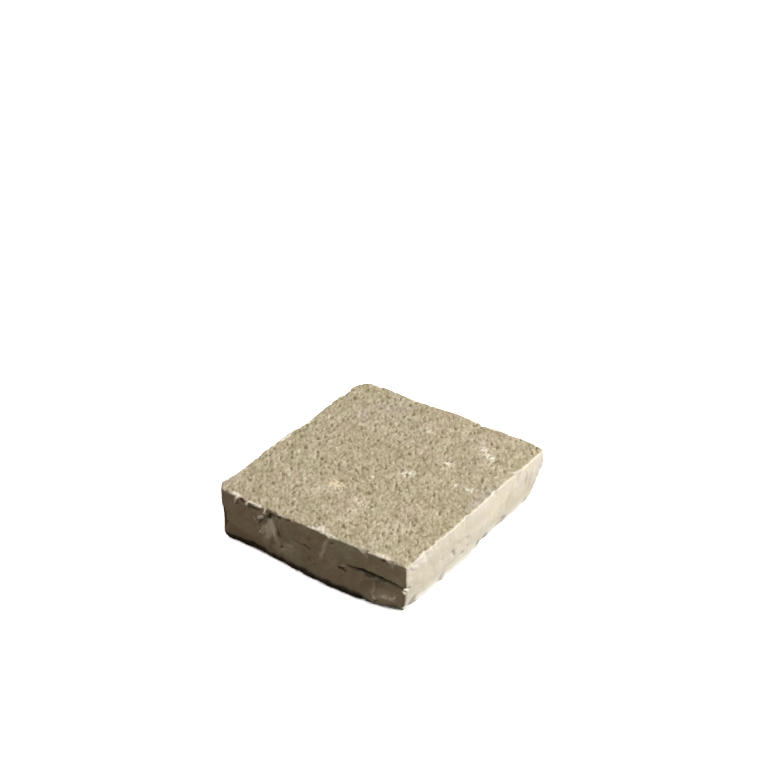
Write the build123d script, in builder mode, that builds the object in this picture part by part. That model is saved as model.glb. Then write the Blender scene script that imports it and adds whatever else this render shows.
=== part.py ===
# A square sett of limestone, hand dressed from a slab.
# The walking face is flat with a crisp, uneven arris. The four sides are split and undercut, so that
# neighbouring setts lie close at the top and take bedding mortar at the foot. Each side carries the
# shell-shaped scars of the dressing, and the front one an open bedding seam. The bed face is flat and
# its lower arris is worn away.
# X runs along the front, Y runs to the back and Z points up. The origin is the middle of the bed.
import os
from collections import namedtuple

from build123d import *

# Driving dimensions, in millimetres
thickness = 50.5
half_side = 95.0
wear_height = 4.5
wear_bands = ((0.0, 3.0), (1.6, 1.2), (wear_height, 0.0))
face_levels = (wear_height, 14.0, 30.0, thickness)

# A side runs anticlockwise, seen from above. The arris is its upper line and the foot is its lower one.
# The bumps say how far each line stands out from its straight chord, at equal steps along it.
# The belly is how far the middle of the face stands out.
Side = namedtuple("Side", "arris arris_bumps foot foot_bumps belly")

front = Side(
    arris=((-92.0, -99.0), (96.9, -99.3)),
    arris_bumps=(3.0, 2.3, 0.6, 1.8, 0.4),
    foot=((-91.5, -98.2), (89.8, -94.2)),
    foot_bumps=(0.3, 3.2, 6.6, 7.8, 6.8),
    belly=0.4,
)
right = Side(
    arris=((97.6, -98.0), (94.6, 96.5)),
    arris_bumps=(0.4, 0.5, 1.0, 0.3, -1.6),
    foot=((90.6, -92.6), (84.0, 91.0)),
    foot_bumps=(2.2, 3.1, 3.5, 0.8, 1.4),
    belly=0.4,
)
back = Side(
    arris=((91.0, 99.6), (-88.0, 97.0)),
    arris_bumps=(2.5, 1.9, 2.5, 0.7, 1.1),
    foot=((80.0, 94.0), (-81.0, 92.0)),
    foot_bumps=(1.5, 0.5, 2.5, 1.0, 2.0),
    belly=1.5,
)
left = Side(
    arris=((-94.6, 90.5), (-97.2, -91.0)),
    arris_bumps=(1.4, -0.4, 0.1, 0.2, -1.8),
    foot=((-86.5, 87.0), (-96.3, -92.0)),
    foot_bumps=(0.5, 2.5, 1.0, 2.0, 0.5),
    belly=1.0,
)
sides = (front, right, back, left)

# A scar is a shell-shaped bite. It is placed by the middle of its mouth, the way it runs and the way
# it faces, and sized by its length, its width and its depth.
Scar = namedtuple("Scar", "at along facing length width depth")
cap_thickness = 20.0

scars = (
    # The front
    Scar((-74, -101.0, 24), (1, 0, -0.3), (0, -1, 0.05), 56, 44, 1.6),
    Scar((-44, -101.9, 34), (0.15, 0, 1), (0.1, -1, 0.1), 36, 22, 2.2),
    Scar((-58, -101.6, 39), (1, 0, -1.1), (-0.1, -1, 0.1), 25, 12, 1.5),
    Scar((-12, -101.6, 28), (1, 0, 0.2), (0, -1, 0), 56, 40, 1.3),
    Scar((52, -101.4, 44), (1, 0, -0.1), (0, -1, 0.1), 76, 26, 1.2),
    Scar((72, -98.2, 14), (1, 0, 0.15), (0.1, -1, 0.1), 30, 20, 1.9),
    Scar((-94, -97.5, 1), (1, -1, 0), (-0.7, -0.8, -0.8), 30, 17, 3.8),
    # The right
    Scar((87.5, 48, 0), (-0.03, 1, 0.02), (1, 0, -0.8), 96, 30, 3.6),
    Scar((96.0, -44, 22), (0, 1, 0.1), (1, 0, -0.1), 96, 56, 0.8),
    Scar((95.4, 42, 34), (0, 1, 0.15), (1, 0, 0.15), 90, 34, 1.0),
    Scar((88.0, 95, 10), (0.1, 0.1, 1), (1, 0.8, -0.3), 64, 26, 4.0),
    # The back
    Scar((52, 101.0, 24), (1, 0, 0.15), (0, 1, 0), 76, 40, 2.2),
    Scar((-38, 100.0, 22), (1, 0, -0.2), (0, 1, -0.1), 66, 36, 2.4),
    # The left
    Scar((-95, 10, 22), (0, 1, -0.12), (-1, 0, 0), 120, 42, 2.4),
)

# The bedding seam opens along the right half of the front and closes just before the corner. Each
# station gives its place along X, the height of its roof, its gape, and how far out lie its root, the
# ledge under it and the foot of that ledge.
Seam = namedtuple("Seam", "x roof gape root ledge ledge_foot")
seam_stations = (
    Seam(34.0, 31.8, 2.4, -102.2, -102.6, -104.6),
    Seam(66.0, 31.5, 3.4, -96.4, -98.9, -101.8),
    Seam(97.5, 28.6, 2.4, -97.5, -97.6, -98.2),
)
seam_mouth = -108.0
ledge_height = 20.0


def side_points(side, height):
    """The points of one side's line at a height above the bed, from its start to its end."""
    rise = (height - wear_height) / (thickness - wear_height)
    toward_arris = 1 - (1 - rise) ** 2
    start = Vector(*side.foot[0]) + (Vector(*side.arris[0]) - Vector(*side.foot[0])) * toward_arris
    end = Vector(*side.foot[1]) + (Vector(*side.arris[1]) - Vector(*side.foot[1])) * toward_arris
    along = (end - start).normalized()
    outward = Vector(along.Y, -along.X)
    bulge = side.belly * 4 * rise * (1 - rise)
    steps = len(side.arris_bumps) + 1
    points = [start]
    for step, (at_arris, at_foot) in enumerate(zip(side.arris_bumps, side.foot_bumps), start=1):
        bump = at_foot + (at_arris - at_foot) * toward_arris
        points.append(start + (end - start) * (step / steps) + outward * (bump + bulge))
    return [(p.X, p.Y) for p in points + [end]]


def outline(height, size=1.0):
    """The closed outline at a height: four bumpy sides, joined by short straight corners."""
    lines = [[(x * size, y * size) for x, y in side_points(side, height)] for side in sides]
    for here, after in zip(lines, lines[1:] + lines[:1]):
        Spline(*here)
        Line(here[-1], after[0])


def shell_bite(scar):
    """The solid that a scar takes away: the near side of a half ellipse turned about its long axis."""
    radius = (scar.width**2 / 4 + scar.depth**2) / (2 * scar.depth)
    reach = radius * scar.length / scar.width
    facing = Vector(*scar.facing).normalized()
    across = facing.cross(Vector(*scar.along))
    along = across.cross(facing).normalized()
    mouth = Vector(*scar.at)
    with BuildPart() as bite:
        with BuildSketch(Plane(mouth + facing * (radius - scar.depth), x_dir=along, z_dir=facing)):
            Ellipse(reach, radius)
            Rectangle(2 * reach, radius, align=(Align.CENTER, Align.MAX), mode=Mode.SUBTRACT)
        revolve(axis=Axis(mouth + facing * (radius - scar.depth), along))
        with Locations(Plane(mouth, x_dir=along, z_dir=facing)):
            Box(2 * scar.length, 2 * scar.width, cap_thickness, mode=Mode.INTERSECT)
    return bite.part


bites = [shell_bite(scar) for scar in scars]

with BuildPart() as seam:
    for station in seam_stations:
        floor = station.roof - station.gape
        with BuildSketch(Plane(origin=(station.x, 0, 0), x_dir=(0, 1, 0), z_dir=(1, 0, 0))):
            with BuildLine():
                Polyline(
                    (seam_mouth, station.roof + 0.6),
                    (station.root, station.roof),
                    (station.ledge, floor),
                    (station.ledge_foot, floor - ledge_height),
                    (seam_mouth, floor - ledge_height),
                    close=True,
                )
            make_face()
    loft(ruled=True)

with BuildPart() as sett:
    # The dressed faces, lofted from the top of the wear to the walking face
    for level in face_levels:
        with BuildSketch(Plane.XY.offset(level)):
            with BuildLine():
                outline(level)
            make_face()
    loft()

    # The worn lower arris, rounding under to the flat bed
    for level, set_in in wear_bands:
        with BuildSketch(Plane.XY.offset(level)):
            with BuildLine():
                outline(wear_height, 1 - set_in / half_side)
            make_face()
    loft(ruled=True)

    for bite in bites:
        add(bite, mode=Mode.SUBTRACT)
    add(seam.part, mode=Mode.SUBTRACT)

# Its middle goes over the origin
middle = sett.part.bounding_box().center()
stone = sett.part.moved(Location((-middle.X, -middle.Y, 0)))
stone.label = "sett"
box = stone.bounding_box()
print("volume", stone.volume, "low", box.min, "high", box.max)
print("faces", len(stone.faces()), "solids", len(stone.solids()), "valid", stone.is_valid)
os.makedirs("parts", exist_ok=True)
export_step(stone, "parts/sett.step")
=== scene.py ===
# A square sett of limestone on a pale floor.
# The solid from the frame gives the stone's form. Here the arris is chipped, the walking face gets its
# punched grain, the split sides get their relief, and one limestone material colours them all.
import math
from collections import namedtuple

import bmesh
import bpy
from mathutils import Matrix, Vector


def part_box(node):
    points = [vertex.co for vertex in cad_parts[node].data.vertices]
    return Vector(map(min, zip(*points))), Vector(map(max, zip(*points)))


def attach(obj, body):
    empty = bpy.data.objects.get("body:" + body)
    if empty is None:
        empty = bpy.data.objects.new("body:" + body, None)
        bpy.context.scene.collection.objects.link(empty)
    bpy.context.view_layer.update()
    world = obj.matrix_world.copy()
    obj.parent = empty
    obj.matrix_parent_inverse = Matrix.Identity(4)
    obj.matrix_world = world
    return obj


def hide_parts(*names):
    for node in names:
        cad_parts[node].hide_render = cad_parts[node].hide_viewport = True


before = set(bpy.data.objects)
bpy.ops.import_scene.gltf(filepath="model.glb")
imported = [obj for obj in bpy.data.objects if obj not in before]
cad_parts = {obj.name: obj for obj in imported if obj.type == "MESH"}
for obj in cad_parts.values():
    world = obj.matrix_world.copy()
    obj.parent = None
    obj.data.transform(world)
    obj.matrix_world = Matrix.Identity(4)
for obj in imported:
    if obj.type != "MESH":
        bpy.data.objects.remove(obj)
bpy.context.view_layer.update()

MM = 0.001
sett_low, sett_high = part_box("sett")
thickness = sett_high.z - sett_low.z

# How fine the stone's mesh is: even all over, then halved on the walking face, its arris and the front
stone_mesh_step = 1.75 * MM
fine_from_height = 43.0 * MM
fine_before_y = -88.0 * MM
merge_distance = 0.002 * MM

# The sharp edges, and the heights that tell the upper arris from the lower one
sharp_edge = math.radians(32)
upper_arris_from = 48.0 * MM
lower_arris_to = 5.0 * MM

# The mesh is drawn out to a sharp edge that is nearer than this, nearly all the way
drawn_from = 0.62 * MM
drawn_share = 0.95

# Chips along the arrises: long spalls, then crumbs, on the upper one, and chips on the lower one. Sizes
# are in millimetres, and a change below zero makes the chips of the right side shallower.
chip_rounds = (
    {
        "Spacing": 15.0, "Shallowest": -0.7, "Deepest": 1.4, "Change to the right": -0.3,
        "Upper": 1, "Lower": 0, "Seed": 11,
    },
    {
        "Spacing": 5.5, "Shallowest": -0.3, "Deepest": 0.7, "Change to the right": -0.2,
        "Upper": 1, "Lower": 0, "Seed": 4,
    },
    {
        "Spacing": 14.0, "Shallowest": -0.2, "Deepest": 0.6, "Change to the right": -0.6,
        "Upper": 0, "Lower": 1, "Seed": 23,
    },
)

# A chip's flat: how far it leans up or down, turns, and slides along the arris as a share of the spacing
chip_lean = (0.45, 1.6)
chip_turn = (-0.4, 0.4)
chip_slide = (-0.45, 0.45)
deep_chip_rarity = 2.2
chip_roughness = 0.8 * MM
chip_whole_within = 11.0 * MM
chip_gone_beyond = 16.0 * MM

# Flats broken off the corners: the middle of each, the way it faces and how far it reaches
Flat = namedtuple("Flat", "middle facing reach")
corner_roughness = 1.2 * MM
corner_flats = (
    Flat((93.6, -95.5, 25.6), (0.84, -0.40, 0.37), 3.5),
    Flat((92.8, -96.9, 22.4), (0.65, -0.60, 0.45), 2.4),
)

# Relief, in millimetres
relief_sizes = {
    "Thickness": thickness / MM,
    "Grain depth": 0.8,
    "Pit depth": 0.9,
    "Crumb height": 0.4,
    "Hollow size": 34.0,
    "Hollow depth": 0.7,
    "Facet size": 24.0,
    "Facet depth": 1.8,
    "Split grain size": 4.5,
    "Split grain depth": 0.5,
    "Swell": 0.2,
    "Seam depth": 4.0,
    "Seam half gape": 1.6,
    "Arris swell": 1.7,
}

# The strokes of the punch, the groups they stand in, and the pits and crumbs among them. The breadth is
# a share of the length, and the sizes are in millimetres.
stroke_turn = math.radians(-38)
stroke_breadth = 0.48
stroke_size = 2.2
stroke_contrast = 0.75
group_size = 5.5
group_contrast = 0.6
pit_size = 2.8

# The bedding seam along the front, which bends down towards the corner: places along X and up
seam_start = (39.0, 30.4)
seam_end = (98.0, 27.2)
seam_bend = 1.6
seam_wander = 0.9

# How ragged the marks and the stains are: how wide the bends of their edges are, and how far these swing
ragged_size = 4.5
ragged_spread = 4.4

# Marks on the split faces. A mark stands proud, or is sunk where its height is negative. Each has its
# place along the face and up it, half its length, half its width, its turn in degrees and its height.
Mark = namedtuple("Mark", "along up reach breadth turn height")
front_marks = (
    # The left corner, worn back below the arris
    Mark(-91, 22, 13.0, 4.5, 90, -1.7),
    # The broken ground under the arris at the left
    Mark(-75.2, 46.8, 3.4, 1.7, 80, 2.1),
    Mark(-69.3, 48.6, 3.0, 1.8, -50, -2.2),
    Mark(-62.6, 47.4, 2.4, 1.8, -50, 2.6),
    Mark(-59.0, 46.0, 2.5, 1.6, -20, -2.3),
    Mark(-53.5, 46.2, 3.4, 1.7, -5, -1.3),
    Mark(-44.8, 46.6, 2.8, 1.6, -70, 2.2),
    Mark(-48.6, 41.0, 3.6, 2.2, 35, 2.3),
    Mark(-40.8, 43.8, 3.8, 2.2, 60, -3.0),
    Mark(-36.2, 45.6, 2.1, 1.6, -30, -2.2),
    Mark(-38.8, 44.6, 2.6, 0.9, 60, 1.4),
    Mark(-50.2, 35.0, 3.0, 1.3, 70, -1.2),
    Mark(-54.4, 35.9, 6.4, 1.2, -57, 1.4),
    Mark(-51.9, 29.0, 1.7, 1.2, 0, 1.3),
    Mark(-50.0, 26.0, 1.6, 1.2, 0, 1.2),
    Mark(-29.8, 47.8, 2.9, 1.5, -10, -2.0),
    # The fan below it, its sharp right edge and its foot
    Mark(-36.0, 34, 10.0, 2.6, -71, 0.9),
    Mark(-41.5, 31, 9.0, 3.4, 88, 0.7),
    Mark(-46.5, 29, 7.0, 3.0, 58, 0.6),
    Mark(-31.2, 33, 9.0, 1.5, -71, -1.1),
    Mark(-28.5, 18.5, 3.0, 1.5, 30, -1.1),
    Mark(-19.5, 23.5, 7.0, 3.0, 15, 0.6),
    # The middle
    Mark(-20, 48.5, 2.8, 1.3, 0, -1.0),
    Mark(-1, 29.2, 4.6, 1.4, -14, -1.5),
    Mark(-11, 29.8, 7.0, 1.0, -6, -0.8),
    Mark(0.5, 38, 2.2, 1.8, 90, -0.8),
    Mark(18.5, 42.4, 6.5, 1.3, 66, 0.9),
    Mark(4.5, 18.5, 2.0, 1.8, 0, 0.9),
    Mark(0.8, 19.5, 3.4, 1.2, 90, -0.8),
    Mark(24.6, 44.6, 3.2, 1.1, -10, -1.2),
    Mark(35, 24.0, 5.0, 1.7, -8, -2.1),
    Mark(37.0, 28.6, 3.0, 1.2, 15, 1.0),
    # The right, above and below the seam
    Mark(75.2, 48.3, 2.0, 1.5, 0, -1.6),
    Mark(60.7, 26.4, 5.5, 1.5, 4, -1.3),
    Mark(74.5, 26.2, 3.6, 1.4, 10, -1.1),
    Mark(63.4, 15.5, 8.0, 1.4, 84, 0.9),
    Mark(64.6, 7.4, 2.6, 1.8, -10, 1.5),
    Mark(73.8, 9.6, 3.8, 1.4, 5, 1.3),
    Mark(79.8, 10.6, 2.6, 1.3, 14, 1.3),
    Mark(84.0, 14.0, 3.8, 1.5, 66, 1.4),
)
right_marks = (
    Mark(-33.2, 25.5, 3.8, 1.4, -70, -2.2),
    Mark(-20, 16.8, 2.8, 1.3, 20, -2.1),
    Mark(-13.5, 19.5, 2.2, 1.2, 60, -1.7),
    Mark(-15.3, 30, 1.8, 1.1, 0, -0.8),
    Mark(-25.4, 30.3, 3.0, 0.8, -40, -0.8),
    Mark(-49, 28.6, 2.4, 1.2, 90, -0.9),
    Mark(-40, 41, 2.2, 1.2, 90, -0.8),
    Mark(22, 17, 2.4, 1.4, 0, -0.7),
    Mark(45, 28, 10.0, 3.0, 80, -0.5),
    Mark(72, 36, 10.0, 1.8, -84, -0.5),
    Mark(8, 26, 9.0, 2.6, 70, 0.5),
    Mark(82, 33, 10.0, 3.4, 84, 0.8),
    Mark(-88, 45, 6.0, 2.2, -30, 0.5),
    Mark(-75, 42, 6.0, 2.0, -30, 0.5),
)

# Stains on the split faces, placed as the marks are, with a strength in place of the height
# The pale ones lie on the front: paler stone, and painted light on its raised ridges and its fan
pale_stains_and_light = (
    Mark(-36.6, 35, 9.5, 3.2, -70, 0.9),
    Mark(-33.4, 26, 8.0, 3.2, -72, 0.65),
    Mark(-41.0, 32, 11.0, 3.6, 88, 0.9),
    Mark(-46.8, 29, 7.0, 3.0, 58, 0.7),
    Mark(-44.5, 20, 8.0, 4.0, 75, 0.35),
    Mark(-20.5, 21.5, 8.0, 3.6, 15, 0.55),
    Mark(17.0, 38.5, 11.0, 2.0, 67, 0.6),
    Mark(12.5, 28, 4.0, 3.0, 67, 0.35),
    Mark(37, 28.4, 4.0, 1.6, 10, 0.35),
    Mark(75, 13.5, 12.0, 6.0, 8, 0.15),
    Mark(63.4, 15.5, 8.0, 1.8, 84, 0.4),
    Mark(75.5, 10.0, 11.0, 3.0, 8, 0.5),
    Mark(84.0, 14.0, 4.0, 1.8, 66, 0.35),
    Mark(-31.0, 16.0, 8.0, 5.0, 10, 0.35),
    Mark(69.0, 13.0, 10.0, 4.5, 8, 0.18),
)
yellow_stains = (
    Mark(43, 31, 12.0, 5.5, -75, 0.7),
    Mark(25, 30, 10.0, 5.0, -66, 0.6),
    Mark(56, 35, 7.0, 4.0, -80, 0.5),
    Mark(-2, 14, 9.0, 5.0, 0, 0.4),
)
tan_stains = (
    Mark(-42, 14, 16.0, 7.0, 20, 0.25),
    Mark(73, 36, 10.0, 2.0, -84, 0.5),
)
pink_stains = (
    Mark(-78, 44, 18.0, 5.0, 0, 0.8),
    Mark(90, 34, 14.0, 13.0, 0, 0.7),
)
grey_stains = (
    Mark(-8, 36, 34.0, 7.0, 0, 0.8),
    Mark(10, 24, 8.0, 5.0, 60, 0.3),
)

# The scraped strip beside the right arris of the walking face, placed along Y and X
scraped_stains = (
    Mark(14, 91, 27.0, 3.6, 0, 0.45),
)

# Where the arris of the front is crushed and carries a painted highlight, placed along X and Y
front_rim = (
    Mark(-90, -98.5, 3.0, 1.2, 0, 0.5),
    Mark(-76.5, -98.0, 5.5, 3.8, 0, 0.75),
    Mark(-57, -99.8, 10.5, 1.8, 0, 0.95),
    Mark(-35, -101.0, 8.5, 1.9, 0, 0.85),
    Mark(-14, -100.6, 7.0, 1.4, 0, 0.5),
    Mark(4.5, -99.2, 6.5, 2.6, 0, 0.9),
    Mark(11.5, -95.0, 6.5, 4.0, 0, 0.5),
    Mark(21, -99.4, 9.5, 3.2, 0, 0.7),
    Mark(41, -100.2, 2.5, 1.4, 0, 0.5),
    Mark(58, -99.7, 7.0, 1.7, 0, 0.85),
    Mark(74.5, -97.0, 9.5, 4.2, 0, 0.55),
)

# Colours
olive_beige = (0.415, 0.362, 0.238, 1)
pale_beige = (0.460, 0.392, 0.276, 1)
rosy_beige = (0.475, 0.378, 0.280, 1)
dim_olive = (0.300, 0.255, 0.160, 1)
mauve_beige = (0.450, 0.378, 0.335, 1)
pit_brown = (0.200, 0.152, 0.078, 1)
grain_cream = (0.740, 0.675, 0.535, 1)
bleached_grain = (0.740, 0.685, 0.570, 1)
# Rim and arris colours: crushed stone with a painted highlight, darker for the right where the lamp falls
crushed_rim_and_highlight = (0.880, 0.800, 0.660, 1)
knocked_rim_and_highlight = (0.605, 0.555, 0.505, 1)
bruised_arris_highlight = (0.690, 0.645, 0.565, 1)
scraped_grey = (0.418, 0.392, 0.345, 1)
cream_side = (0.570, 0.520, 0.410, 1)
pink_side = (0.612, 0.556, 0.494, 1)
yellow_side = (0.640, 0.575, 0.420, 1)
tan_side = (0.500, 0.440, 0.345, 1)
grey_side = (0.540, 0.498, 0.402, 1)
# Painted light for the foot of the sides, and paler still low on the right
foot_painted_light = (0.728, 0.690, 0.578, 1)
low_foot_painted_light = (0.900, 0.870, 0.810, 1)
brown_side = (0.368, 0.271, 0.169, 1)
olive_side = (0.355, 0.290, 0.183, 1)
# Painted shade for the sunk marks of the split sides
hollow_painted_shade = (0.130, 0.090, 0.045, 1)
# Chip colours: fresh stone, toned down for the lamp on the right, and a much paler one for the shaded front,
# which is painted light
fresh_chip = (0.525, 0.472, 0.402, 1)
front_chip_painted_light = (0.880, 0.780, 0.620, 1)
# Pale stone for the front, partly painted light
pale_grey_and_light = (0.740, 0.610, 0.440, 1)
deep_shade = (0.020, 0.014, 0.007, 1)
peach = (0.800, 0.660, 0.450, 1)

# Green and blue are these powers of red, so that the darker grains are yellower and the lighter ones paler
green_fall = 1.08
blue_fall = 1.30

# How dull the stone is
stone_roughness = 0.92
stone_sheen = 0.18

# Spots on the walking face: place along X and Y, radius in millimetres, and strength
Spot = namedtuple("Spot", "x y radius strength")
pale_spots = (
    Spot(48.5, 72.0, 2.6, 0.75),
    Spot(53.0, 70.3, 3.4, 0.95),
    Spot(59.5, 66.6, 3.4, 0.9),
    Spot(65.3, 63.4, 3.6, 0.95),
    Spot(40.1, 37.4, 3.2, 0.9),
    Spot(77.0, 16.6, 3.4, 0.95),
    Spot(63.5, 16.5, 2.6, 0.8),
    Spot(17.6, 5.9, 2.4, 0.8),
    Spot(23.0, 8.2, 2.4, 0.8),
    Spot(-0.2, -14.7, 2.2, 0.6),
    Spot(-0.7, 66.5, 3.0, 0.6),
    Spot(-54.9, 42.8, 2.8, 0.5),
    Spot(-45.6, 53.9, 2.8, 0.5),
    Spot(-58.6, -49.7, 2.8, 0.5),
)
cream_patches = (
    Spot(56.0, 69.0, 11.0, 0.22),
    Spot(42.0, 36.0, 8.0, 0.30),
    Spot(20.0, 7.0, 7.0, 0.45),
    Spot(34.0, -10.0, 7.0, 0.20),
    Spot(42.0, -29.0, 6.0, 0.15),
    Spot(18.0, -55.0, 11.0, 0.30),
    Spot(60.0, -60.0, 8.0, 0.25),
    Spot(15.0, -73.0, 8.0, 0.20),
    Spot(62.0, -85.0, 7.0, 0.22),
    Spot(-16.0, -44.0, 9.0, 0.38),
    Spot(-31.0, -54.0, 9.0, 0.32),
    Spot(-44.0, -41.0, 7.0, 0.22),
    Spot(-61.0, -44.0, 8.0, 0.18),
    Spot(-66.0, -20.0, 9.0, 0.18),
    Spot(-80.0, 33.0, 9.0, 0.20),
)
dim_patches = (
    Spot(-32.0, 78.0, 9.0, 0.45),
    Spot(-18.0, 74.0, 9.0, 0.45),
    Spot(-4.0, 54.0, 10.0, 0.38),
    Spot(47.0, 47.0, 8.0, 0.45),
    Spot(20.0, 33.0, 8.0, 0.35),
    Spot(59.0, 32.0, 8.0, 0.35),
    Spot(-10.0, 22.0, 8.0, 0.30),
    Spot(-30.0, 19.0, 8.0, 0.30),
    Spot(67.0, -3.0, 7.0, 0.35),
    Spot(68.0, -41.0, 8.0, 0.35),
    Spot(72.0, -80.0, 7.0, 0.30),
    Spot(72.0, 12.0, 12.0, 0.16),
    Spot(48.0, 52.0, 14.0, 0.16),
    Spot(80.0, -16.0, 12.0, 0.22),
    Spot(29.0, -31.0, 7.0, 0.25),
    Spot(1.0, -61.0, 7.0, 0.30),
    Spot(-41.0, -61.0, 9.0, 0.35),
)
mauve_patches = (
    Spot(-46.0, 80.0, 15.0, 0.38),
    Spot(-62.0, 55.0, 12.0, 0.30),
    Spot(-38.0, 60.0, 12.0, 0.26),
    Spot(-16.0, 66.0, 11.0, 0.22),
    Spot(0.0, 50.0, 10.0, 0.22),
    Spot(40.0, 76.0, 12.0, 0.24),
    Spot(55.0, 55.0, 14.0, 0.18),
    Spot(82.0, 22.0, 14.0, 0.18),
)
peach_spots = (
    Spot(-20.3, -39.9, 4.6, 0.95),
    Spot(-14.0, -38.5, 3.2, 0.5),
)
dark_spots = (
    Spot(14.5, 7.4, 2.0, 1.0),
    Spot(64.7, -41.7, 2.2, 0.7),
    Spot(50.0, -47.5, 2.2, 0.6),
    Spot(29.4, -74.8, 2.0, 0.7),
    Spot(0.4, 25.6, 2.2, 0.7),
    Spot(21.0, 29.3, 2.2, 0.6),
    Spot(71.7, 62.7, 2.2, 0.7),
    Spot(54.3, -15.2, 2.0, 0.6),
    Spot(-13.7, 50.1, 2.0, 0.6),
    Spot(-69.7, -62.3, 2.0, 0.6),
)

# What the colours of the limestone read: places and heights in millimetres, how far the surface faces
# up, to the front and to the right, and what the geometry has kept
Surface = namedtuple("Surface", "place x y height level front right walking fresh mark seam arris")

# The camera stands where the photograph's did. Lengths of the lens and the film are in millimetres.
camera_place = (1.1697, -1.4899, 1.3689)
camera_turn = math.radians(38.04)
camera_dip = math.radians(33.10)
camera_roll = math.radians(-1.766)
camera_lens = 130.94
camera_film_width = 36.0
camera_sees_to = 50.0

# Light. A direction is a turn about Z and a rise above the floor.
lamp_distance = 2.6
key_direction = (math.radians(28), math.radians(36))
key_width = 0.6
key_power = 96.0
key_colour = (1.0, 0.985, 0.955)
fill_direction = (math.radians(-128), math.radians(55))
fill_width = 1.6
fill_power = 14.0
fill_colour = (1.0, 1.0, 1.0)
sky_strength = 0.14

# The floor, which lies a hair below the bed. It is greyer to the light than to the camera.
floor_half_width = 6.0
floor_drop = 0.05 * MM
floor_as_lit = (0.25, 0.245, 0.24, 1)
floor_as_seen = (4.3, 4.3, 4.3, 1)


# Nodes, for shading and for geometry alike

def add_node(tree, kind, inputs=None, **settings):
    """A new node with its settings, and its inputs given by name or place as values or as sockets."""
    made = tree.nodes.new(kind)
    for name, value in settings.items():
        setattr(made, name, value)
    for key, value in (inputs or {}).items():
        if isinstance(value, bpy.types.NodeSocket):
            tree.links.new(value, made.inputs[key])
        else:
            made.inputs[key].default_value = value
    return made


def maths(tree, operation, *values, clamp=False):
    """One number worked out from others."""
    inputs = dict(enumerate(values))
    return add_node(tree, "ShaderNodeMath", inputs, operation=operation, use_clamp=clamp).outputs[0]


def product(tree, first, *others):
    """Numbers multiplied together."""
    for other in others:
        first = maths(tree, "MULTIPLY", first, other)
    return first


def total(tree, first, *others):
    """Numbers added together."""
    for other in others:
        first = maths(tree, "ADD", first, other)
    return first


def vector_maths(tree, operation, *values):
    """One vector worked out from others, or one number where the operation measures them."""
    made = add_node(tree, "ShaderNodeVectorMath", dict(enumerate(values)), operation=operation)
    measures = operation in ("LENGTH", "DISTANCE", "DOT_PRODUCT")
    return made.outputs["Value" if measures else "Vector"]


def stretched(tree, vector, factor):
    """A vector made longer by a factor."""
    made = add_node(tree, "ShaderNodeVectorMath", {"Vector": vector, "Scale": factor}, operation="SCALE")
    return made.outputs["Vector"]


def parts(tree, vector):
    """The X, Y and Z of a vector."""
    return add_node(tree, "ShaderNodeSeparateXYZ", {0: vector}).outputs


def ramp(tree, value, low, high, start=0.0, end=1.0, way="LINEAR"):
    """An even step from start to end as the value goes from low to high."""
    inputs = {"Value": value, "From Min": low, "From Max": high, "To Min": start, "To Max": end}
    return add_node(tree, "ShaderNodeMapRange", inputs, interpolation_type=way).outputs[0]


def eased(tree, value, low, high, start=0.0, end=1.0):
    """A smooth step from start to end as the value goes from low to high."""
    return ramp(tree, value, low, high, start, end, "SMOOTHSTEP")


def noise(tree, place, size, detail=2.0, roughness=0.5, distortion=0.0):
    """Soft random blotches about as wide as size, from 0 to 1."""
    return add_node(tree, "ShaderNodeTexNoise", {
        "Vector": place,
        "Scale": maths(tree, "DIVIDE", 1.0, size),
        "Detail": detail,
        "Roughness": roughness,
        "Distortion": distortion,
    }).outputs[0]


def centred(tree, share, spread=1.0):
    """A share from 0 to 1 made a number about 0, whose two ends are as far apart as the spread."""
    return maths(tree, "MULTIPLY_ADD", share, spread, -spread / 2)


def blend_colours(tree, share, first, second, blend="MIX"):
    """The first colour going over to the second."""
    inputs = {0: share, 6: first, 7: second}
    return add_node(tree, "ShaderNodeMix", inputs, data_type="RGBA", blend_type=blend).outputs[2]


def toned(tree, colour, share, low, high):
    """The colour made darker or lighter, from low to high as the share goes from 0 to 1. Limestone gets
    yellower in its darker grains."""
    red = ramp(tree, share, 0.0, 1.0, low, high)
    green = maths(tree, "POWER", red, green_fall)
    blue = maths(tree, "POWER", red, blue_fall)
    factor = add_node(tree, "ShaderNodeCombineColor", {0: red, 1: green, 2: blue}).outputs[0]
    return blend_colours(tree, 1.0, colour, factor, "MULTIPLY")


# Patterns that the relief and the colour share. They read places in millimetres.

def punched_grain(tree, place):
    """The grain of the punched walking face, about 0, then its pits and its crumbs, from 0 to 1.
    It reads only the place along X and Y, so that the relief and the colour agree."""
    turned = add_node(tree, "ShaderNodeVectorRotate", {
        "Vector": place, "Angle": stroke_turn,
    }, rotation_type="Z_AXIS").outputs[0]
    strokes = vector_maths(tree, "MULTIPLY", turned, (1.0, stroke_breadth, 0.0))
    grain = centred(tree, noise(tree, strokes, stroke_size, 0.0), stroke_contrast)
    aside = vector_maths(tree, "ADD", strokes, (73.0, 29.0, 0.0))
    grain = total(tree, grain, centred(tree, noise(tree, aside, group_size, 1.0, 0.5), group_contrast))
    aside = vector_maths(tree, "ADD", strokes, (41.0, 17.0, 0.0))
    sparse = noise(tree, aside, pit_size, 2.0, 0.5, 0.6)
    pit = eased(tree, sparse, 0.42, 0.32)
    crumb = eased(tree, sparse, 0.61, 0.73)
    return grain, pit, crumb


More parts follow.
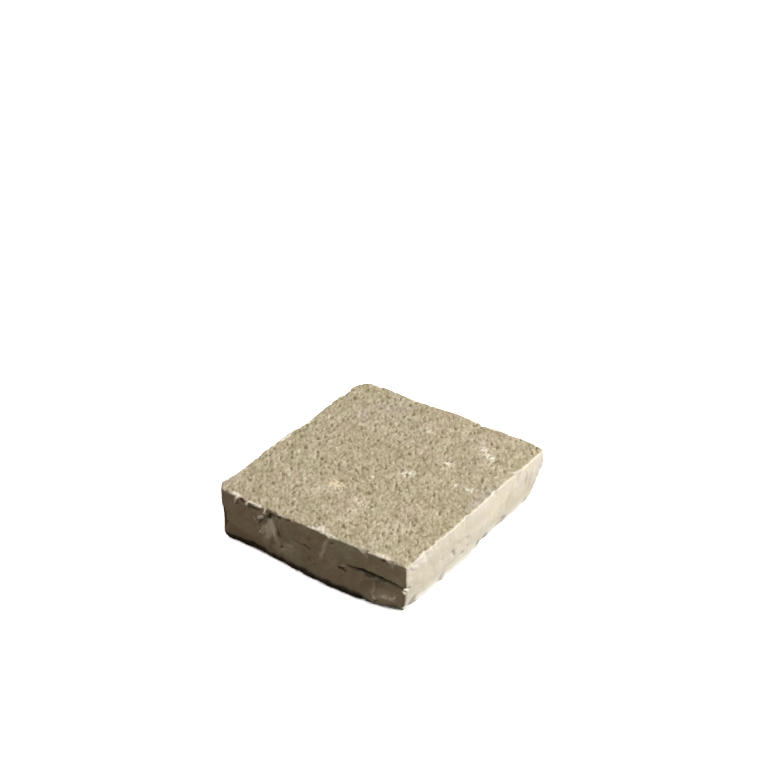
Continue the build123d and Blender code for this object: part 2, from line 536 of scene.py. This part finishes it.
def added_marks(tree, along, up, place, marks):
    """The heights of a face's marks, or the strengths of its stains, added up. Their edges are ragged."""
    aside = vector_maths(tree, "ADD", place, (31.0, 57.0, 11.0))
    along = total(tree, along, centred(tree, noise(tree, place, ragged_size, 3.0, 0.7), ragged_spread))
    up = total(tree, up, centred(tree, noise(tree, aside, ragged_size, 3.0, 0.7), ragged_spread))
    height = 0.0
    for mark in marks:
        turn = math.radians(mark.turn)
        x = maths(tree, "SUBTRACT", along, mark.along)
        z = maths(tree, "SUBTRACT", up, mark.up)
        lengthwise = maths(tree, "MULTIPLY_ADD", z, math.sin(turn), product(tree, x, math.cos(turn)))
        crosswise = maths(tree, "MULTIPLY_ADD", x, -math.sin(turn), product(tree, z, math.cos(turn)))
        inside = add_node(tree, "ShaderNodeCombineXYZ", {
            0: maths(tree, "DIVIDE", lengthwise, mark.reach),
            1: maths(tree, "DIVIDE", crosswise, mark.breadth),
        }).outputs[0]
        from_middle = vector_maths(tree, "LENGTH", inside)
        height = total(tree, height, eased(tree, from_middle, 1.2, 0.5, 0.0, mark.height))
    return height


# Running a Geometry Nodes tree over a piece

def dressed(piece, name, build, sizes, material):
    """Runs the tree that build makes over the piece, with sizes as its named inputs, and keeps the result."""
    tree = bpy.data.node_groups.new(name, "GeometryNodeTree")
    tree.interface.new_socket("Geometry", in_out="INPUT", socket_type="NodeSocketGeometry")
    tree.interface.new_socket("Geometry", in_out="OUTPUT", socket_type="NodeSocketGeometry")
    kinds = {float: "NodeSocketFloat", int: "NodeSocketInt", bpy.types.Object: "NodeSocketObject"}
    identifiers = {}
    for label, value in sizes.items():
        socket = tree.interface.new_socket(label, in_out="INPUT", socket_type=kinds[type(value)])
        identifiers[label] = socket.identifier
    enter = tree.nodes.new("NodeGroupInput")
    shape = build(tree, enter.outputs)
    real = add_node(tree, "GeometryNodeRealizeInstances", {"Geometry": shape})
    faced = add_node(tree, "GeometryNodeSetMaterial", {"Geometry": real.outputs[0], "Material": material})
    leave = tree.nodes.new("NodeGroupOutput")
    tree.links.new(faced.outputs[0], leave.inputs[0])

    modifier = piece.modifiers.new(name, "NODES")
    modifier.node_group = tree
    for label, value in sizes.items():
        modifier[identifiers[label]] = value
    keep_result(piece)


def keep_result(piece):
    """Makes what the piece's modifiers give its own plain mesh."""
    bpy.context.view_layer.update()
    evaluated = piece.evaluated_get(bpy.context.evaluated_depsgraph_get())
    result = bpy.data.meshes.new_from_object(evaluated)
    piece.modifiers.clear()
    piece.data = result


def position(tree):
    """Where each point is."""
    return add_node(tree, "GeometryNodeInputPosition").outputs[0]


def attribute(tree, name, kind="FLOAT"):
    """What each point was given under a name."""
    return add_node(tree, "GeometryNodeInputNamedAttribute", {"Name": name}, data_type=kind).outputs[0]


def stored(tree, shape, name, value, kind="FLOAT"):
    """The shape with each point given a value under a name."""
    inputs = {"Geometry": shape, "Name": name, "Value": value}
    made = add_node(tree, "GeometryNodeStoreNamedAttribute", inputs, data_type=kind, domain="POINT")
    return made.outputs[0]


def shifted(tree, shape, offset):
    """The shape with its points moved."""
    return add_node(tree, "GeometryNodeSetPosition", {"Geometry": shape, "Offset": offset}).outputs[0]


# The arrises and their chips

def sharp_lines(tree, given, chosen):
    """The chosen sharp edges of the stone's solid, as curves."""
    outline = add_node(tree, "GeometryNodeObjectInfo", {"Object": given["Outline"]}).outputs["Geometry"]
    angle = add_node(tree, "GeometryNodeInputMeshEdgeAngle").outputs["Unsigned Angle"]
    chosen = product(tree, maths(tree, "GREATER_THAN", angle, sharp_edge), chosen)
    return add_node(tree, "GeometryNodeMeshToCurve", {"Mesh": outline, "Selection": chosen}).outputs[0]


def draw_arrises(tree, given):
    """Draws the mesh out to the sharp edges, and keeps how far each point is from the upper arris."""
    place = position(tree)
    height = parts(tree, place)["Z"]

    def nearest(chosen):
        """The nearest place on the chosen sharp edges, and how far away it is."""
        lines = sharp_lines(tree, given, chosen)
        wires = add_node(tree, "GeometryNodeCurveToMesh", {"Curve": lines}).outputs[0]
        inputs = {0: wires, "Sample Position": place}
        return add_node(tree, "GeometryNodeProximity", inputs, target_element="EDGES").outputs

    drawn_to = nearest(maths(tree, "GREATER_THAN", height, lower_arris_to))
    upper = nearest(maths(tree, "GREATER_THAN", height, upper_arris_from))
    stone = stored(tree, given["Geometry"], "arris", maths(tree, "DIVIDE", upper["Distance"], MM))
    share = eased(tree, drawn_to["Distance"], drawn_from, drawn_from * 0.7, 0.0, drawn_share)
    gap = vector_maths(tree, "SUBTRACT", drawn_to["Position"], place)
    return shifted(tree, stone, stretched(tree, gap, share))


def cut_back(tree, stone, cut, facing, fresh_at):
    """The stone cut back against the way that a break faces, with its fresh ground kept as a share."""
    fresh = maths(tree, "MAXIMUM", attribute(tree, "fresh"), eased(tree, cut, 0.1 * MM, fresh_at * MM))
    stone = stored(tree, stone, "fresh", fresh)
    return shifted(tree, stone, stretched(tree, facing, product(tree, cut, -1.0)))


def break_corners(tree, given):
    """Breaks the known flats off the corners."""
    place = position(tree)
    rough = centred(tree, noise(tree, stretched(tree, place, 1 / MM), 3.0, 2.0, 0.6), corner_roughness)
    stone = given["Geometry"]
    for flat in corner_flats:
        facing = Vector(flat.facing).normalized()
        away = vector_maths(tree, "SUBTRACT", place, Vector(flat.middle) * MM)
        out = vector_maths(tree, "DOT_PRODUCT", away, facing)
        near = eased(tree, vector_maths(tree, "LENGTH", away), flat.reach * 1.35 * MM, flat.reach * MM)
        cut = product(tree, maths(tree, "MAXIMUM", total(tree, out, rough), 0.0), near)
        stone = cut_back(tree, stone, cut, facing, 0.5)
    return stone


def chip_arrises(tree, given):
    """Breaks flat chips of random depth and lean off the stone's sharp edges."""
    place = position(tree)
    height = parts(tree, place)["Z"]
    upper = product(tree, maths(tree, "GREATER_THAN", height, upper_arris_from), given["Upper"])
    lower = product(tree, maths(tree, "LESS_THAN", height, lower_arris_to), given["Lower"])
    lines = sharp_lines(tree, given, total(tree, upper, lower))
    spacing = product(tree, given["Spacing"], MM)
    dots = add_node(tree, "GeometryNodeCurveToPoints", {"Curve": lines, "Length": spacing}, mode="LENGTH")

    def chance(ends, offset):
        """A random number for each chip, between the two ends."""
        inputs = {"Seed": total(tree, given["Seed"], offset), 2: ends[0], 3: ends[1]}
        return add_node(tree, "FunctionNodeRandomValue", inputs, data_type="FLOAT").outputs[1]

    # The way out of the side, and how much of a chip is on the right one
    run = vector_maths(tree, "NORMALIZE", dots.outputs["Tangent"])
    across = vector_maths(tree, "CROSS_PRODUCT", run, (0, 0, 1))
    side = maths(tree, "SIGN", vector_maths(tree, "DOT_PRODUCT", across, place))
    outward = vector_maths(tree, "NORMALIZE", stretched(tree, across, side))
    on_right = eased(tree, parts(tree, outward)["X"], 0.6, 0.9)

    # The chip's flat, which leans up or down and is turned a little along the arris
    from_middle = maths(tree, "SUBTRACT", height, thickness / 2)
    lean = product(tree, chance(chip_lean, 1), maths(tree, "MULTIPLY_ADD", on_right, -0.5, 1.0))
    upward = stretched(tree, (0, 0, 1), product(tree, maths(tree, "SIGN", from_middle), lean))
    turned = stretched(tree, run, chance(chip_turn, 2))
    facing = vector_maths(tree, "ADD", vector_maths(tree, "ADD", outward, upward), turned)
    facing = vector_maths(tree, "NORMALIZE", facing)
    few_deep = maths(tree, "POWER", chance((0.0, 1.0), 0), deep_chip_rarity)
    spread = maths(tree, "SUBTRACT", given["Deepest"], given["Shallowest"])
    deep = maths(tree, "MULTIPLY_ADD", few_deep, spread, given["Shallowest"])
    deep = maths(tree, "MULTIPLY_ADD", on_right, given["Change to the right"], deep)
    slide = product(tree, spacing, chance(chip_slide, 3))
    flats = stored(tree, dots.outputs["Points"], "facing", facing, "FLOAT_VECTOR")
    facing = attribute(tree, "facing", "FLOAT_VECTOR")
    inward = stretched(tree, facing, product(tree, deep, -MM))
    flats = shifted(tree, flats, vector_maths(tree, "ADD", inward, stretched(tree, run, slide)))

    # Each point is cut back to the flat nearest to it
    inputs = {"Geometry": flats, "Sample Position": place}
    nearest = add_node(tree, "GeometryNodeSampleNearest", inputs).outputs[0]

    def sampled(value):
        """A value of the nearest flat."""
        inputs = {"Geometry": flats, "Index": nearest, "Value": value}
        return add_node(tree, "GeometryNodeSampleIndex", inputs, data_type="FLOAT_VECTOR").outputs["Value"]

    chip_facing = sampled(facing)
    away = vector_maths(tree, "SUBTRACT", place, sampled(place))
    out = vector_maths(tree, "DOT_PRODUCT", away, chip_facing)
    rough = centred(tree, noise(tree, stretched(tree, place, 1 / MM), 3.5, 2.0, 0.6), chip_roughness)
    near = eased(tree, vector_maths(tree, "LENGTH", away), chip_gone_beyond, chip_whole_within)
    cut = product(tree, maths(tree, "MAXIMUM", total(tree, out, rough), 0.0), near)
    return cut_back(tree, given["Geometry"], cut, chip_facing, 0.45)


# The relief

def raise_relief(tree, given):
    """Works the punched grain into the walking face and the split relief into the sides and the bed."""
    place = stretched(tree, position(tree), 1 / MM)
    x, y, height = parts(tree, place)
    normal = add_node(tree, "GeometryNodeInputNormal").outputs[0]
    rightness, backness, level = parts(tree, normal)

    # The walking face
    below = maths(tree, "SUBTRACT", given["Thickness"], height)
    flatness = total(tree, level, eased(tree, x, 86, 90, 0.0, 0.25))
    walking = product(tree, eased(tree, flatness, 0.70, 0.93), eased(tree, below, 2.2, 1.0))
    stone = stored(tree, given["Geometry"], "walking", walking)
    grain, pit, crumb = punched_grain(tree, place)
    punched = product(tree, grain, given["Grain depth"])
    punched = maths(tree, "SUBTRACT", punched, product(tree, pit, given["Pit depth"]))
    punched = total(tree, punched, product(tree, crumb, given["Crumb height"]))
    hollows = centred(tree, noise(tree, place, given["Hollow size"], 2.0))
    punched = total(tree, punched, product(tree, hollows, given["Hollow depth"]))

    # The split faces
    facets = centred(tree, noise(tree, place, given["Facet size"], 3.0, 0.5, 0.6))
    fine = centred(tree, noise(tree, place, given["Split grain size"], 2.0, 0.6))
    split = product(tree, facets, given["Facet depth"])
    split = total(tree, split, product(tree, fine, given["Split grain depth"]), given["Swell"])
    split = product(tree, split, eased(tree, level, -0.6, -0.9, 1.0, 0.35))
    on_front = eased(tree, backness, -0.35, -0.70)
    on_right = eased(tree, rightness, 0.35, 0.70)
    front_relief = product(tree, added_marks(tree, x, height, place, front_marks), on_front)
    right_relief = product(tree, added_marks(tree, y, height, place, right_marks), on_right)
    stone = stored(tree, stone, "mark", total(tree, front_relief, right_relief))
    split = total(tree, split, attribute(tree, "mark"))
    inputs = {0: attribute(tree, "walking"), 2: split, 3: punched}
    raised = add_node(tree, "ShaderNodeMix", inputs).outputs[0]
    moved = stretched(tree, normal, product(tree, raised, MM))

    # The bedding seam, which opens towards the right end of the front
    run = ramp(tree, x, seam_start[0], seam_end[0])
    drop = seam_end[1] - seam_start[1]
    line = maths(tree, "MULTIPLY_ADD", maths(tree, "POWER", run, seam_bend), drop, seam_start[1])
    wander = centred(tree, noise(tree, place, 14.0, 3.0, 0.6), seam_wander)
    away = maths(tree, "ABSOLUTE", maths(tree, "SUBTRACT", total(tree, height, wander), line))
    widest = product(tree, eased(tree, x, 42, 58, 0.4, 1.0), eased(tree, x, 72, 94, 1.0, 0.5))
    gape = product(tree, given["Seam half gape"], widest)
    slot = product(
        tree,
        eased(tree, away, product(tree, gape, 1.9), gape),
        eased(tree, x, seam_start[0] - 1, seam_start[0] + 4),
        eased(tree, x, 96, 93),
        maths(tree, "LESS_THAN", y, -85.0),
        maths(tree, "LESS_THAN", rightness, 0.6),
    )
    stone = stored(tree, stone, "seam", slot)
    depth = product(tree, attribute(tree, "seam"), product(tree, given["Seam depth"], MM))
    moved = vector_maths(tree, "ADD", moved, stretched(tree, (0, 1, 0), depth))

    # The right arris, which stands out along its back half
    along = product(tree, eased(tree, y, -28, 0), eased(tree, y, 92, 70))
    beside = product(tree, eased(tree, x, 82, 92), eased(tree, height, 28, 46))
    swell = product(tree, along, beside, product(tree, given["Arris swell"], MM))
    moved = vector_maths(tree, "ADD", moved, stretched(tree, (1, 0, 0), swell))

    # The bed, which stays above the floor
    fallen = product(tree, parts(tree, moved)["Z"], -1.0)
    lift = maths(tree, "MAXIMUM", maths(tree, "MULTIPLY_ADD", height, -MM, fallen), 0.0)
    moved = vector_maths(tree, "ADD", moved, stretched(tree, (0, 0, 1), lift))
    return shifted(tree, stone, moved)


# The limestone

def stone_surface(tree):
    """What the colours of the limestone read, each as a socket."""
    place = stretched(tree, add_node(tree, "ShaderNodeTexCoord").outputs["Object"], 1 / MM)
    x, y, height = parts(tree, place)
    normal = add_node(tree, "ShaderNodeTexCoord").outputs["Normal"]
    rightness, backness, level = parts(tree, normal)
    kept = {}
    for name in ("walking", "fresh", "mark", "seam", "arris"):
        kept[name] = add_node(tree, "ShaderNodeAttribute", attribute_name=name).outputs["Fac"]
    front = eased(tree, backness, -0.25, -0.75)
    right = eased(tree, rightness, 0.2, 0.6)
    return Surface(place=place, x=x, y=y, height=height, level=level, front=front, right=right, **kept)


def walking_colour(tree, at, scraped):
    """The walking face: beige in patches, with spots, grain, crumbs and pits."""
    paler = eased(tree, noise(tree, at.place, 19.0, 3.0, 0.7), 0.35, 0.65)
    colour = blend_colours(tree, paler, olive_beige, pale_beige)
    rosier = eased(tree, noise(tree, at.place, 30.0, 2.0), 0.50, 0.70, 0.0, 0.6)
    colour = blend_colours(tree, rosier, colour, rosy_beige)
    colour = toned(tree, colour, noise(tree, at.place, 11.0, 1.0, 0.8), 0.70, 1.27)
    plan = vector_maths(tree, "MULTIPLY", at.place, (1, 1, 0))
    ragged = centred(tree, noise(tree, at.place, 3.0, 2.0), 3.0)

    def spotted(colour, spots, tint):
        """The colour with spots of a tint, whose edges are ragged."""
        strongest = 0.0
        for spot in spots:
            away = vector_maths(tree, "DISTANCE", plan, (spot.x, spot.y, 0))
            away = maths(tree, "MULTIPLY_ADD", ragged, spot.radius, away)
            share = eased(tree, away, spot.radius * 1.15, spot.radius * 0.45, 0.0, spot.strength)
            strongest = maths(tree, "MAXIMUM", strongest, share)
        return blend_colours(tree, strongest, colour, tint)

    colour = spotted(colour, dim_patches, dim_olive)
    colour = spotted(colour, mauve_patches, mauve_beige)
    colour = spotted(colour, cream_patches, grain_cream)
    colour = spotted(colour, pale_spots, bleached_grain)
    colour = spotted(colour, peach_spots, peach)
    colour = blend_colours(tree, scraped, colour, scraped_grey)
    grain, pit, crumb = punched_grain(tree, at.place)
    colour = toned(tree, colour, total(tree, grain, 0.5), 0.52, 1.46)
    colour = blend_colours(tree, product(tree, crumb, 0.55), colour, grain_cream)
    colour = blend_colours(tree, product(tree, pit, 0.78), colour, pit_brown)
    return spotted(colour, dark_spots, pit_brown)


def right_colour(tree, at):
    """The right side: cream and pink with its stains, and painted light at its foot."""
    pinker = eased(tree, noise(tree, at.place, 30.0, 2.0), 0.40, 0.62, 0.0, 0.6)
    colour = blend_colours(tree, pinker, cream_side, pink_side)
    for stains, tint in (
        (tan_stains, tan_side),
        (grey_stains, grey_side),
        (yellow_stains, yellow_side),
        (pink_stains, pink_side),
    ):
        share = product(tree, added_marks(tree, at.y, at.height, at.place, stains), at.right)
        colour = blend_colours(tree, share, colour, tint)
    colour = toned(tree, colour, noise(tree, at.place, 7.0, 3.0, 0.7), 0.93, 1.07)
    # Painted light: the foot is made paler, and paler still in its lowest part on the right
    foot_light = eased(tree, at.height, 18.0, 11.0, 0.0, 0.6)
    colour = blend_colours(tree, foot_light, colour, foot_painted_light)
    low_foot_light = product(tree, eased(tree, at.height, 11.0, 6.0, 0.0, 0.9), eased(tree, at.x, 74, 80))
    return blend_colours(tree, low_foot_light, colour, low_foot_painted_light)


def front_colour(tree, at):
    """The front: brown and olive, with the pale fan and its other pale stains, partly painted light."""
    greener = eased(tree, noise(tree, at.place, 24.0, 2.0, 0.6, 0.5), 0.44, 0.58)
    colour = blend_colours(tree, greener, brown_side, olive_side)
    colour = blend_colours(tree, eased(tree, at.x, -36, -54, 0.0, 0.9), colour, brown_side)
    colour = toned(tree, colour, noise(tree, at.place, 12.0, 4.0, 0.7, 0.4), 0.60, 1.40)
    # Painted light in part: the front's fan and ridges are made paler
    patchy = eased(tree, noise(tree, at.place, 3.5, 2.0, 0.6), 0.32, 0.60, 0.60, 1.0)
    paled = product(tree, added_marks(tree, at.x, at.height, at.place, pale_stains_and_light), patchy)
    return blend_colours(tree, paled, colour, pale_grey_and_light)


def painted_foot_shade(tree, at):
    """How thick the painted shade lies on the front: along its foot, in its left corner and where it faces
    down.
    """
    risen = product(tree, eased(tree, at.x, -72, -60, 0.0, -2.4), eased(tree, at.x, -42, -52))
    low = total(tree, at.height, centred(tree, noise(tree, at.place, 9.0, 2.0), 5.0), risen)
    foot = eased(tree, total(tree, low, eased(tree, at.x, 48, 66, 0.0, 5.5)), 10.0, 5.5)
    corner = product(tree, eased(tree, at.x, -48, -66, 0.0, 0.18), eased(tree, low, 24.0, 7.0))
    facing_down = eased(tree, at.level, -0.15, -0.60, 0.0, 0.8)
    return maths(tree, "MAXIMUM", maths(tree, "MAXIMUM", foot, corner), facing_down)


def side_colour(tree, at, foot_shade):
    """The split sides, brown to the front and cream elsewhere, with their marks and chips, and painted shade
    along the front's foot and in the seam.
    """
    colour = blend_colours(tree, at.front, right_colour(tree, at), front_colour(tree, at))
    # Chips are paler on the front: painted light on the shaded side
    chip_tone_by_light = blend_colours(tree, at.front, fresh_chip, front_chip_painted_light)
    # Painted shade in the sunk marks
    colour = blend_colours(tree, eased(tree, at.mark, -0.15, -1.5, 0.0, 0.85), colour, hollow_painted_shade)
    # Proud marks take the chip colour, partly painted light
    colour = blend_colours(tree, eased(tree, at.mark, 0.7, 1.7, 0.0, 0.85), colour, chip_tone_by_light)
    chipped = product(tree, at.fresh, maths(tree, "MULTIPLY_ADD", at.front, -0.5, 0.8))
    colour = blend_colours(tree, chipped, colour, chip_tone_by_light)
    # The corner flats: pale stone with a painted highlight
    for flat in corner_flats:
        away = vector_maths(tree, "DISTANCE", at.place, flat.middle)
        broken_off = product(tree, at.fresh, eased(tree, away, flat.reach * 1.5, flat.reach))
        colour = blend_colours(tree, broken_off, colour, crushed_rim_and_highlight)
    # Painted shade: near black along the front's foot, in its left corner and where it faces down
    colour = blend_colours(tree, product(tree, at.front, foot_shade, 0.85), colour, deep_shade)
    # Painted shade in the seam's gap
    return blend_colours(tree, product(tree, at.seam, 0.95), colour, deep_shade)


def with_crushed_arris_and_highlight(tree, at, colour, scraped):
    """The colour with the upper arris crushed, and with a painted highlight on it where it faces up: bright
    along the front, duller and narrower on the right.
    """
    torn = centred(tree, noise(tree, at.place, 3.0, 2.0, 0.7), 4.0)
    by_right = product(tree, eased(tree, at.x, 80, 88), eased(tree, at.y, -92, -84))

    # The rim of the walking face: crushed stone, with a painted highlight where it faces up
    reach = eased(tree, noise(tree, at.place, 13.0, 2.0, 0.6), 0.42, 0.64, -0.5, 2.4)
    reach = product(tree, reach, maths(tree, "MULTIPLY_ADD", by_right, -0.85, 1.0))
    beyond = maths(tree, "SUBTRACT", total(tree, at.arris, torn), reach)
    rim = product(
        tree,
        eased(tree, beyond, 1.2, 0.0, 0.0, 0.95),
        eased(tree, at.y, -94, -88),
        maths(tree, "MULTIPLY_ADD", by_right, -0.6, 1.0),
        maths(tree, "MULTIPLY_ADD", scraped, -1.4, 1.0, clamp=True),
    )
    crumbled = added_marks(tree, at.x, at.y, at.place, front_rim)
    crumbled = product(tree, crumbled, eased(tree, at.height, 47.2, 48.8))
    rim = product(tree, maths(tree, "MAXIMUM", rim, crumbled), eased(tree, at.level, 0.30, 0.70))
    # Painted highlight: the rim is paler only where it faces up
    crushed = blend_colours(tree, at.right, crushed_rim_and_highlight, knocked_rim_and_highlight)
    colour = blend_colours(tree, rim, colour, crushed)

    # The bruised edge of the right side, with a painted highlight along it
    bruised_highlight = product(
        tree,
        eased(tree, at.arris, 1.9, 0.5),
        eased(tree, torn, -0.9, -0.1, 0.25, 1.0),
        by_right,
        eased(tree, at.level, 0.90, 0.75),
        0.75,
    )
    return blend_colours(tree, bruised_highlight, colour, bruised_arris_highlight)


def limestone():
    """Punched beige on the walking face, and smoother cream, pink, yellow and brown on the split sides."""
    material = bpy.data.materials.new("limestone")
    material.use_nodes = True
    tree = material.node_tree
    shader = tree.nodes["Principled BSDF"]
    at = stone_surface(tree)
    # Painted shade along the front's foot, which also dulls its sheen
    foot_shade = painted_foot_shade(tree, at)
    scraped = added_marks(tree, at.y, at.x, at.place, scraped_stains)
    colour = blend_colours(tree, at.walking, side_colour(tree, at, foot_shade), walking_colour(tree, at, scraped))
    colour = with_crushed_arris_and_highlight(tree, at, colour, scraped)
    tree.links.new(colour, shader.inputs["Base Color"])

    # Dull stone, and duller still on the front, most where its foot is painted in shade, and in the seam
    shader.inputs["Roughness"].default_value = stone_roughness
    dull = product(tree, at.front, maths(tree, "MAXIMUM", foot_shade, 0.72))
    dull = maths(tree, "MAXIMUM", dull, at.seam)
    shader.inputs["Specular IOR Level"].default_value = stone_sheen
    sheen = maths(tree, "MULTIPLY_ADD", dull, -stone_sheen, stone_sheen)
    tree.links.new(sheen, shader.inputs["Specular IOR Level"])

    # Grain too fine for the mesh, stronger on the walking face
    fine = noise(tree, at.place, 2.8, 1.0, 0.75)
    strength = ramp(tree, at.walking, 0.0, 1.0, 0.22, 0.55)
    bump = add_node(tree, "ShaderNodeBump", {"Height": fine, "Distance": 1.0 * MM, "Strength": strength})
    tree.links.new(bump.outputs[0], shader.inputs["Normal"])
    return material


# The stone

def stone_block(source):
    """A fine even mesh of the sett's solid, and a plain merged copy that gives its sharp edges."""
    mesh = source.data.copy()
    form = bmesh.new()
    form.from_mesh(mesh)
    bmesh.ops.remove_doubles(form, verts=form.verts, dist=merge_distance)
    form.to_mesh(mesh)
    form.free()
    mesh.materials.clear()
    outline = bpy.data.objects.new("sett_outline", mesh)
    stone = bpy.data.objects.new("limestone_sett", mesh.copy())
    for piece in (outline, stone):
        bpy.context.scene.collection.objects.link(piece)
    remesh = stone.modifiers.new("even mesh", "REMESH")
    remesh.mode = "VOXEL"
    remesh.voxel_size = stone_mesh_step
    remesh.use_smooth_shade = True
    keep_result(stone)
    refine(stone)
    snap = stone.modifiers.new("snap", "SHRINKWRAP")
    snap.target = outline
    snap.wrap_method = "NEAREST_SURFACEPOINT"
    keep_result(stone)
    return stone, outline


def refine(stone):
    """Halves the mesh step on the walking face, along its arris and on the front."""
    form = bmesh.new()
    form.from_mesh(stone.data)
    edges = set()
    for face in form.faces:
        middle = face.calc_center_median()
        if middle.z > fine_from_height or middle.y < fine_before_y:
            edges.update(face.edges)
    edges = sorted(edges, key=lambda edge: edge.index)
    bmesh.ops.subdivide_edges(form, edges=edges, cuts=1, use_grid_fill=True)
    form.to_mesh(stone.data)
    form.free()


def make_stone():
    """The sett, dressed from its solid."""
    material = limestone()
    stone, outline = stone_block(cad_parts["sett"])
    dressed(stone, "arrises", draw_arrises, {"Outline": outline}, material)
    dressed(stone, "corners", break_corners, {}, material)
    for count, chip_sizes in enumerate(chip_rounds):
        dressed(stone, f"chips {count + 1}", chip_arrises, {**chip_sizes, "Outline": outline}, material)
    dressed(stone, "relief", raise_relief, relief_sizes, material)
    stone.data.shade_smooth()
    bpy.data.objects.remove(outline)
    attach(stone, "root")
    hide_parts("sett")


# The floor, the light and the camera

def seen_by_camera(tree):
    """1 for a ray from the camera, also by way of gloss or glass, and 0 for light on its way."""
    rays = add_node(tree, "ShaderNodeLightPath").outputs
    by_way_of = maths(tree, "MAXIMUM", rays["Is Glossy Ray"], rays["Is Transmission Ray"])
    return maths(tree, "MAXIMUM", rays["Is Camera Ray"], by_way_of)


def make_floor():
    """A pale floor that shows white to the camera and keeps the stone's shadow."""
    material = bpy.data.materials.new("pale floor")
    material.use_nodes = True
    tree = material.node_tree
    tree.nodes.remove(tree.nodes["Principled BSDF"])
    colour = blend_colours(tree, seen_by_camera(tree), floor_as_lit, floor_as_seen)
    surface = add_node(tree, "ShaderNodeBsdfDiffuse", {"Color": colour})
    tree.links.new(surface.outputs[0], tree.nodes["Material Output"].inputs["Surface"])
    mesh = bpy.data.meshes.new("floor")
    turns = ((-1, -1), (1, -1), (1, 1), (-1, 1))
    corners = [(x * floor_half_width, y * floor_half_width, -floor_drop) for x, y in turns]
    mesh.from_pydata(corners, [], [(0, 1, 2, 3)])
    mesh.materials.append(material)
    floor = bpy.data.objects.new("floor", mesh)
    bpy.context.scene.collection.objects.link(floor)


def lamp_toward(name, direction, width, power, colour):
    """A round soft lamp that lights the stone from a turn and a rise above the floor."""
    turn, rise = direction
    toward = Vector((math.cos(turn) * math.cos(rise), math.sin(turn) * math.cos(rise), math.sin(rise)))
    light = bpy.data.lights.new(name, "AREA")
    light.shape = "DISK"
    light.size = width
    light.energy = power
    light.color = colour
    lamp = bpy.data.objects.new(name, light)
    lamp.location = toward * lamp_distance
    lamp.rotation_euler = toward.to_track_quat("Z", "Y").to_euler()
    bpy.context.scene.collection.objects.link(lamp)


def make_light():
    """A soft key from the right, a faint fill from the left and a faint white sky."""
    lamp_toward("key", key_direction, key_width, key_power, key_colour)
    lamp_toward("fill", fill_direction, fill_width, fill_power, fill_colour)
    world = bpy.data.worlds.new("sky")
    bpy.context.scene.world = world
    world.use_nodes = True
    tree = world.node_tree
    strength = ramp(tree, seen_by_camera(tree), 0.0, 1.0, sky_strength, 1.0)
    sky = tree.nodes["Background"]
    sky.inputs["Color"].default_value = (1, 1, 1, 1)
    tree.links.new(strength, sky.inputs["Strength"])


def make_camera():
    """The photograph's viewpoint."""
    view = bpy.data.cameras.new("camera")
    view.lens = camera_lens
    view.sensor_width = camera_film_width
    view.clip_end = camera_sees_to
    camera = bpy.data.objects.new("camera", view)
    turn = Matrix.Rotation(camera_turn, 4, "Z") @ Matrix.Rotation(math.pi / 2 - camera_dip, 4, "X")
    camera.matrix_world = Matrix.Translation(camera_place) @ turn @ Matrix.Rotation(camera_roll, 4, "Z")
    bpy.context.scene.collection.objects.link(camera)
    bpy.context.scene.camera = camera


make_camera()
make_floor()
make_light()
make_stone()
bpy.context.scene.view_settings.view_transform = "Standard"
